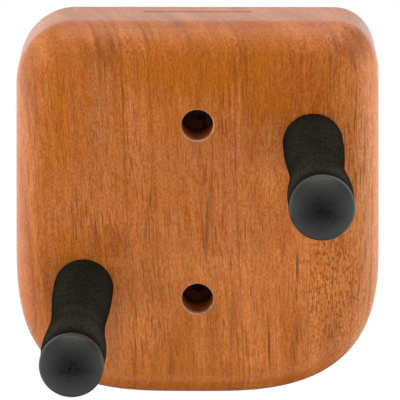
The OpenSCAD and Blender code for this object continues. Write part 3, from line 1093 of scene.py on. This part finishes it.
studio = {
    "floorDrop": 0.15,
    "floorWide": 1.0,
    "floorFront": -0.70,
    "floorBack": 1.0,
    "floorSeen": (0.97, 0.97, 0.97),
    "floorShadowTone": 0.13,               # tones that the floor throws back, painted to stand for the room's light: a painted shadow below the block, just in front of it and from there on
    "floorNear": 0.79,                # just in front of it and from there on
    "floorAway": 0.08,
    "floorFades": (-0.63, -0.16),
    "floorShadowSpan": (-0.12, -0.07),
    "floorSide": 0.86,                # and out to the left and right of it
    "floorSideStarts": (0.09, 0.24),
    "floorSideFades": (-0.40, -0.20),
    "floorGlow": 0.85,                # share of plain white in the floor that the camera sees
    "floorRough": 0.9,
    "floorSpecular": 0.1,
    "sidesFrom": (0.1, 0.8),          # where the room's front and back turn into its sides
    "fillFront": 1.08,                # soft light from the front, the sides and above
    "fillSide": 2.95,
    "fillSideFrom": (0.4, 0.9),
    "fillAbove": 0.31,
    "fillAboveFrom": (0.25, 1.0),
    "fillBack": 0.80,                 # what is left of it behind the block
    "fillBackFrom": (0.0, 0.5),
    "mirrorSideFront": 0.28,          # the same room as the lacquer mirrors it, to the left and right
    "mirrorSide": 1.40,
    "mirrorSideHigh": 0.42,           # and what is left of that high up, but for the front
    "mirrorHighFrom": (-0.1, 0.5),
    "mirrorHighBack": (-0.6, -0.1),
    "mirrorSteps": [
        # degrees up from the front and over the top to the back, strength
        (-180.0, 0.95),
        (-100.0, 0.40),
        (-17.0, 0.0),
        (-11.0, 0.02),
        (5.0, 0.08),
        (20.0, 0.29),
        (35.0, 0.55),
        (50.0, 0.78),
        (70.0, 1.02),
        (92.0, 1.45),
        (114.0, 1.50),
        (140.0, 1.03),
        (180.0, 0.93),
    ],
    "lampPlace": (0.0, -0.25, 1.30),
    "lampSize": (1.4, 1.2),
    "lampWatts": 3.3,
}


def addFloor(look):
    side, level = look["floorWide"] / 2, blockLow.z - look["floorDrop"]
    near, far = look["floorFront"], look["floorBack"]
    mesh = bpy.data.meshes.new("floor")
    corners = [(-side, near, level), (side, near, level), (side, far, level), (-side, far, level)]
    mesh.from_pydata(corners, [], [[0, 1, 2, 3]])
    material = bpy.data.materials.new("paleFloor")
    material.use_nodes = True
    tree = material.node_tree
    lit = tree.nodes["Principled BSDF"]
    lit.inputs["Roughness"].default_value = look["floorRough"]
    lit.inputs["Specular IOR Level"].default_value = look["floorSpecular"]
    glow = addNode(tree, "ShaderNodeEmission")
    path = addNode(tree, "ShaderNodeLightPath")
    across, ahead, _ = parts(tree, addNode(tree, "ShaderNodeTexCoord").outputs["Object"])
    fading = remap(tree, ahead, *look["floorFades"], look["floorAway"], look["floorNear"], smooth=False)
    # painted shadow on the floor below the block
    shadowUnder = remap(tree, ahead, *look["floorShadowSpan"], 1.0, look["floorShadowTone"] / look["floorNear"])
    bounce = calc(tree, "MULTIPLY", fading, shadowUnder)
    outside = remap(tree, calc(tree, "ABSOLUTE", across), *look["floorSideStarts"])
    outside = calc(tree, "MULTIPLY", outside, remap(tree, ahead, *look["floorSideFades"]))
    bounce = mixColour(tree, outside, bounce, (look["floorSide"],) * 3)
    tone = mixColour(tree, path.outputs["Is Camera Ray"], bounce, look["floorSeen"])
    feed(tree, lit.inputs["Base Color"], tone)
    mixed = addNode(tree, "ShaderNodeMixShader")
    glowing = calc(tree, "MULTIPLY", path.outputs["Is Camera Ray"], look["floorGlow"])
    feed(tree, mixed.inputs[0], glowing)
    feed(tree, mixed.inputs[1], lit.outputs[0])
    feed(tree, mixed.inputs[2], glow.outputs[0])
    feed(tree, tree.nodes["Material Output"].inputs[0], mixed.outputs[0])
    mesh.materials.append(material)
    floor = bpy.data.objects.new("floor", mesh)
    scene.collection.objects.link(floor)


def addSurroundings(look):
    world = bpy.data.worlds.new("studio")
    world.use_nodes = True
    scene.world = world
    tree = world.node_tree
    tree.nodes.clear()
    x, y, z = parts(tree, addNode(tree, "ShaderNodeTexCoord").outputs["Generated"])
    across = calc(tree, "ABSOLUTE", x)
    wide = remap(tree, across, *look["fillSideFrom"], look["fillFront"], look["fillSide"])
    above = remap(tree, z, *look["fillAboveFrom"], 1.0, look["fillAbove"])
    fill = calc(tree, "MULTIPLY", wide, above)
    sideways = remap(tree, across, *look["sidesFrom"])
    behind = remap(tree, y, *look["fillBackFrom"], 1.0, look["fillBack"])
    behind = mixColour(tree, sideways, behind, (1.0, 1.0, 1.0))
    fill = calc(tree, "MULTIPLY", fill, behind)
    sides = remap(tree, y, -1.0, 0.0, look["mirrorSideFront"], look["mirrorSide"], smooth=False)
    highUp = remap(tree, z, *look["mirrorHighFrom"])
    highUp = calc(tree, "MULTIPLY", highUp, remap(tree, y, *look["mirrorHighBack"]))
    sides = mixColour(tree, highUp, sides, calc(tree, "MULTIPLY", sides, look["mirrorSideHigh"]))
    upFromFront = calc(tree, "ARCTAN2", z, calc(tree, "MULTIPLY", y, -1.0))
    steps = look["mirrorSteps"]
    brightest = max(strength for _, strength in steps)
    stops = [((degrees + 180) / 360, (strength / brightest,) * 3) for degrees, strength in steps]
    turnShare = remap(tree, upFromFront, -math.pi, math.pi, smooth=False)
    middle = calc(tree, "MULTIPLY", ramp(tree, turnShare, stops), brightest)
    mirror = mixColour(tree, sideways, middle, sides)
    path = addNode(tree, "ShaderNodeLightPath")
    strength = mixColour(tree, path.outputs["Is Glossy Ray"], fill, mirror)
    seen = calc(tree, "MAXIMUM", path.outputs["Is Camera Ray"], path.outputs["Is Transmission Ray"])
    background = addNode(tree, "ShaderNodeBackground")
    feed(tree, background.inputs["Strength"], mixColour(tree, seen, strength, (1.0, 1.0, 1.0)))
    feed(tree, background.inputs["Color"], (1.0, 1.0, 1.0, 1.0))
    feed(tree, addNode(tree, "ShaderNodeOutputWorld").inputs[0], background.outputs[0])


def addLamp(look):
    data = bpy.data.lights.new("topLamp", "AREA")
    data.shape = "RECTANGLE"
    data.size, data.size_y = look["lampSize"]
    data.energy = look["lampWatts"]
    lamp = bpy.data.objects.new("topLamp", data)
    lamp.location = look["lampPlace"]
    lamp.rotation_mode = "QUATERNION"
    lamp.rotation_quaternion = (-Vector(look["lampPlace"])).to_track_quat("-Z", "Y")
    scene.collection.objects.link(lamp)


addFloor(studio)
addSurroundings(studio)
addLamp(studio)
print("studio lit")
